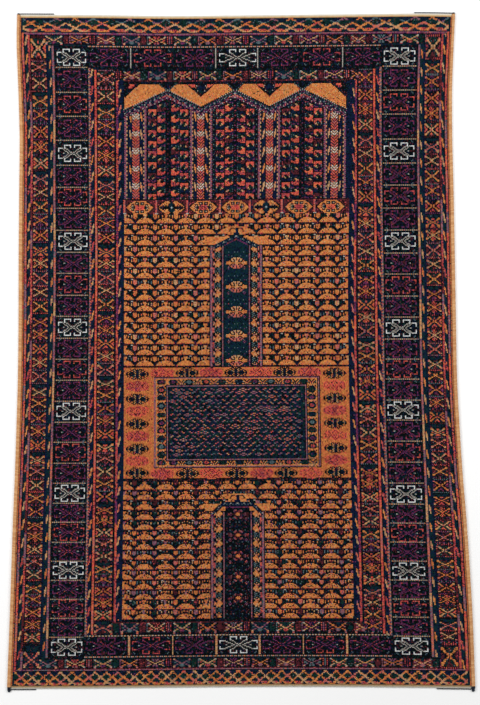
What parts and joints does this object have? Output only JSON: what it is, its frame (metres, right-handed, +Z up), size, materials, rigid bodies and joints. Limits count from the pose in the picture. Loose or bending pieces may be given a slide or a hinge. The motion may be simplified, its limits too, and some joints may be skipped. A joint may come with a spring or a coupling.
{
  "type": "afghan prayer rug",
  "caption": "Hand-knotted wool prayer rug lying flat, a little wider at its lower end, with overcast side edges, narrow woven ends and dark yarn bound round its corners.",
  "frame": {"origin": "on the floor under the middle of the rug's bounding box", "axes": "+Y along the length, towards the end that the arches of the pattern point to; +X across the rug to the right; +Z up, out of the pile"},
  "size_m": [1.172, 1.7028, 0.008],
  "materials": {
    "knotted_wool": "matt cut wool pile in traditional colours, on a woven foundation",
    "overcast_wool": "tan wool yarn wrapped closely round two cables",
    "dark_yarn": "blue-black wool yarn, plied and slightly hairy"
  },
  "bodies": {
    "root": {"rug_body": "knotted_wool", "selvedge_left": "overcast_wool", "selvedge_right": "overcast_wool", "corner_wrap_top_left": "dark_yarn", "corner_run_top_left": "dark_yarn", "corner_wrap_top_right": "dark_yarn", "corner_run_top_right": "dark_yarn", "corner_wrap_bottom_left": "dark_yarn", "corner_run_bottom_left": "dark_yarn", "corner_wrap_bottom_right": "dark_yarn", "corner_run_bottom_right": "dark_yarn"}
  },
  "joints": []
}
